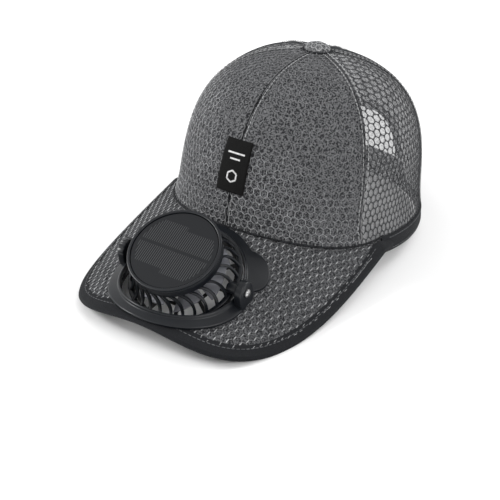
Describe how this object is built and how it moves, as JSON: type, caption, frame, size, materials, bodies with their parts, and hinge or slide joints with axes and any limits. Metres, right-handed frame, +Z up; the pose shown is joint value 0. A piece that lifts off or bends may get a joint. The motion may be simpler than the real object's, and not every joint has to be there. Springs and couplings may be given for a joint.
{
  "type": "solar fan hat",
  "caption": "Six-panel net cap with a curved peak that carries a tilting, solar-topped round fan pod on two ears.",
  "frame": {"origin": "centre of the bounding box on the surface that the hat rests on", "axes": "+Z up, -Y towards the peak, +X towards the wearer's left"},
  "size_m": [0.1694, 0.2884, 0.1276],
  "materials": {
    "backed_net": "grey net over opaque backing",
    "open_net": "open grey hexagonal net",
    "binding_tape": "black twill tape",
    "label_weave": "black woven patch",
    "black_plastic": "satin black moulding",
    "blade_plastic": "smoky gloss moulding",
    "solar_cell": "black cell under resin",
    "screw_steel": "bright plated",
    "motor_steel": "plain can"
  },
  "bodies": {
    "hat": {"crown_front_left": "backed_net", "crown_front_right": "backed_net", "crown_side_left": "open_net", "crown_side_right": "open_net", "crown_back_left": "open_net", "crown_back_right": "open_net", "top_button": "backed_net", "front_label": "label_weave", "hem_binding": "binding_tape", "peak": "backed_net", "peak_binding": "binding_tape", "fan_base_plate": "black_plastic", "under_ring": "black_plastic"},
    "fan_pod": {"fan_housing": "black_plastic", "lower_guard": "black_plastic", "solar_bezel": "black_plastic", "solar_panel": "solar_cell", "fan_motor": "motor_steel", "pivot_screw_left": "screw_steel", "pivot_screw_right": "screw_steel"},
    "rotor": {"fan_rotor": "blade_plastic"}
  },
  "joints": [
    {"name": "fan_tilt", "type": "hinge", "parent": "hat", "child": "fan_pod", "pos_m": [0, -0.09831, 0.02943], "axis": [1, 0, 0], "range_deg": [-30, 10]},
    {"name": "fan_spin", "type": "hinge", "parent": "fan_pod", "child": "rotor", "pos_m": [0, -0.09831, 0.02943], "axis": [0, -0.4508, 0.8926], "continuous": true}
  ]
}
